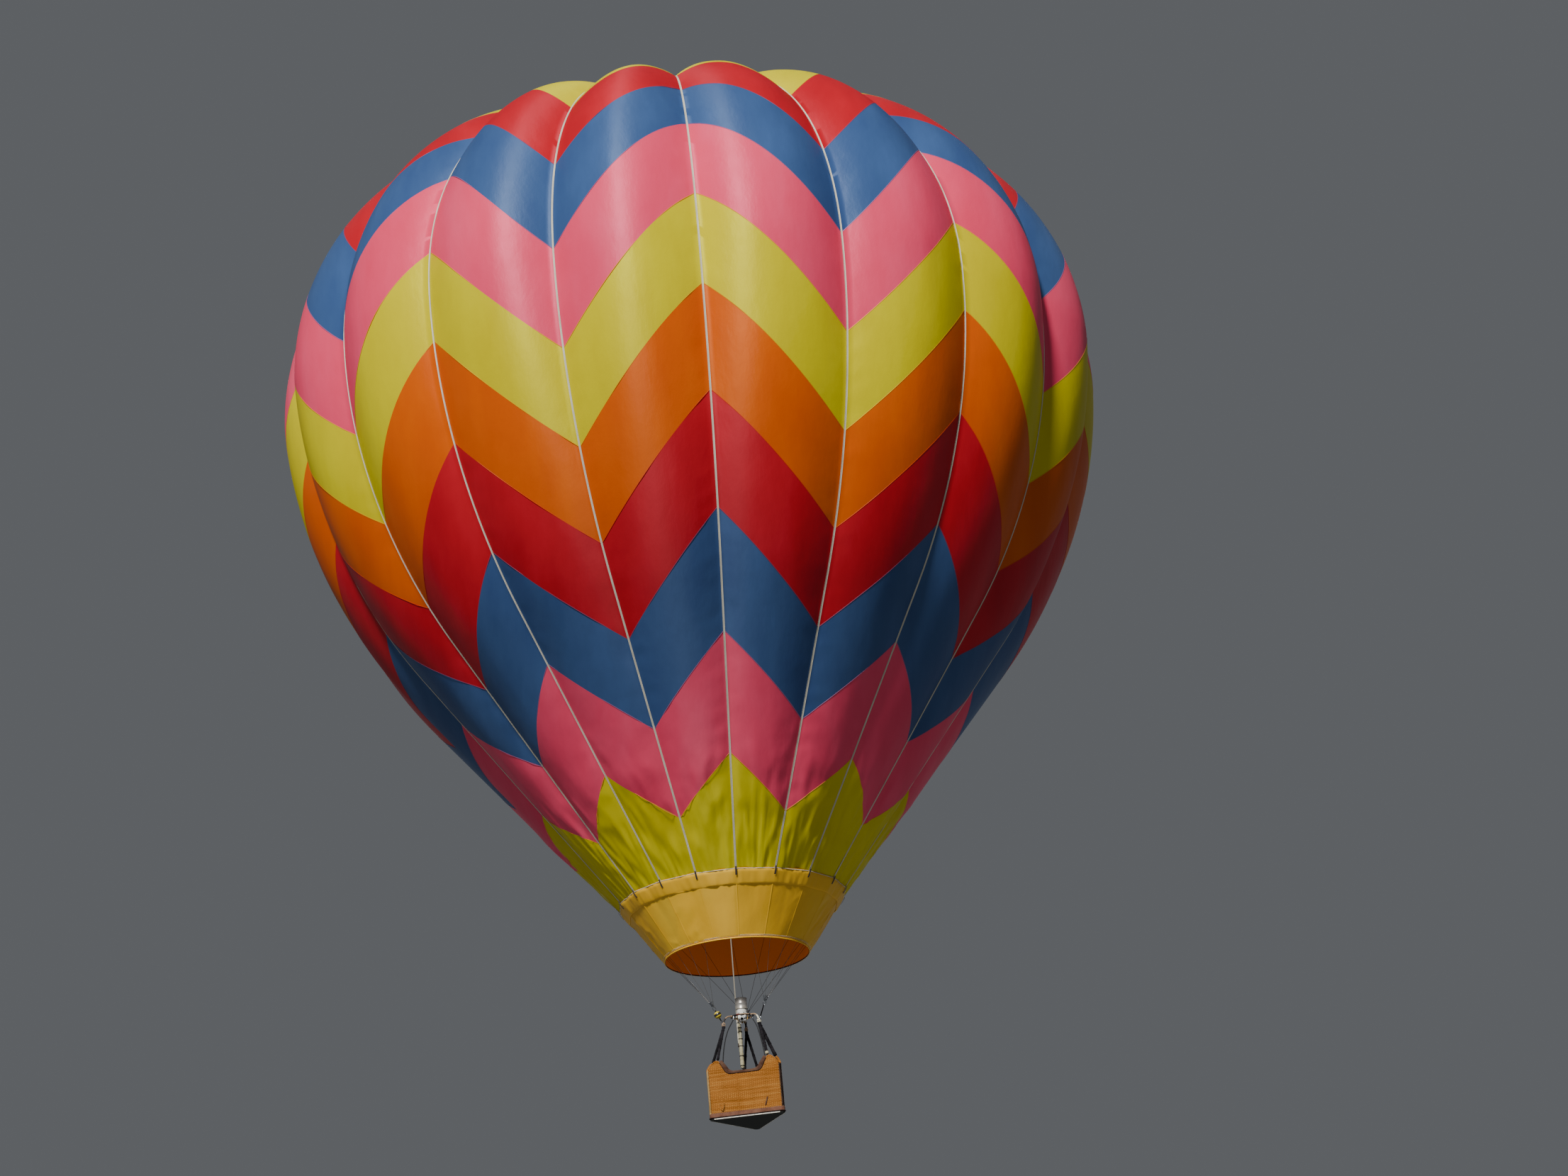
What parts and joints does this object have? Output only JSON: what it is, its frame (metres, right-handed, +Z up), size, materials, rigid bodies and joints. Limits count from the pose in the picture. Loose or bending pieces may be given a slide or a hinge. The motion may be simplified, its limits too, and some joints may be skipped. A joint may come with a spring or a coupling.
{
  "type": "hot air balloon",
  "caption": "Hot air balloon in flight: lobed zigzag envelope with parachute vent, skirt, cables, gimballed burner and three-sided wicker basket.",
  "frame": {"origin": "centre of lift, on the envelope's axis a little under its widest ring", "axes": "+Z up along the envelope's axis, -Y towards the near side that the picture shows, +X to the right"},
  "size_m": [17.2652, 17.1548, 22.2006],
  "materials": {
    "yellow_cloth": "coated ripstop, soft sheen",
    "red_cloth": "coated ripstop, soft sheen",
    "blue_cloth": "coated ripstop, soft sheen",
    "pink_cloth": "coated ripstop, soft sheen",
    "orange_cloth": "coated ripstop, soft sheen",
    "skirt_cloth": "matt flame-resistant weave",
    "webbing": "woven tape",
    "cover_cloth": "padded dark cover",
    "steel_cable": "twisted wire",
    "bright_steel": "stainless, a little heat stained",
    "heated_steel": "heat stained tube",
    "dark_steel": "satin dark paint",
    "frame_paint": "satin tan paint",
    "white_paint": "gloss white paint",
    "ball_paint": "yellow with dark stripes",
    "black_plastic": "matt",
    "cylinder_metal": "dull brushed",
    "sleeve_hide": "padded tan hide, laced",
    "hose_rubber": "matt",
    "wicker": "woven brown willow and cane",
    "dark_leather": "worn dark brown hide",
    "rawhide": "scuffed hide",
    "floor_board": "dark painted board",
    "pale_wood": "pale varnished strip"
  },
  "bodies": {
    "balloon": {"band_01_yellow": "yellow_cloth", "band_02_red": "red_cloth", "band_03_blue": "blue_cloth", "band_04_pink": "pink_cloth", "band_05_yellow": "yellow_cloth", "band_06_orange": "orange_cloth", "band_07_red": "red_cloth", "band_08_blue": "blue_cloth", "band_09_pink": "pink_cloth", "band_10_yellow": "yellow_cloth", "load_tapes": "webbing", "skirt": "skirt_cloth", "skirt_top_band": "skirt_cloth", "skirt_hem": "skirt_cloth", "suspension_right": "steel_cable", "suspension_far": "steel_cable", "suspension_left": "steel_cable", "marker_ball": "ball_paint", "load_frame": "frame_paint", "upright_covers_right": "cover_cloth", "upright_covers_far": "cover_cloth", "upright_covers_left": "cover_cloth", "fuel_cylinder_right": "cylinder_metal", "fuel_cylinder_far": "cylinder_metal", "fuel_cylinder_left": "cylinder_metal", "hose_sleeve": "sleeve_hide", "fuel_hose_right": "hose_rubber", "fuel_hose_far": "hose_rubber", "fuel_hose_left": "hose_rubber", "basket_wall_near": "wicker", "basket_wall_right": "wicker", "basket_wall_left": "wicker", "top_roll_near": "dark_leather", "top_roll_right": "dark_leather", "top_roll_left": "dark_leather", "scuff_band": "rawhide", "basket_floor": "floor_board", "floor_edge_near": "pale_wood", "floor_edge_right": "pale_wood", "floor_edge_left": "pale_wood"},
    "vent": {"parachute_vent": "yellow_cloth", "vent_lines": "webbing"},
    "gimbal": {"gimbal_ring": "dark_steel"},
    "burner": {"burner_can": "bright_steel", "burner_coil": "heated_steel", "burner_base": "white_paint", "valve_block": "white_paint", "valve_knob": "black_plastic"}
  },
  "joints": [
    {"name": "vent_slide", "type": "slide", "parent": "balloon", "child": "vent", "axis": [0, 0, 1], "range_m": [-1, 0], "stiffness_N_per_m": 80, "springref_m": 1},
    {"name": "gimbal_tilt", "type": "hinge", "parent": "balloon", "child": "gimbal", "pos_m": [0, 0, -12.1], "axis": [0.9903, -0.1392, 0], "range_deg": [-10, 10]},
    {"name": "burner_tilt", "type": "hinge", "parent": "gimbal", "child": "burner", "pos_m": [0, 0, -12.1], "axis": [0.1392, 0.9903, 0], "range_deg": [-10, 10]}
  ]
}
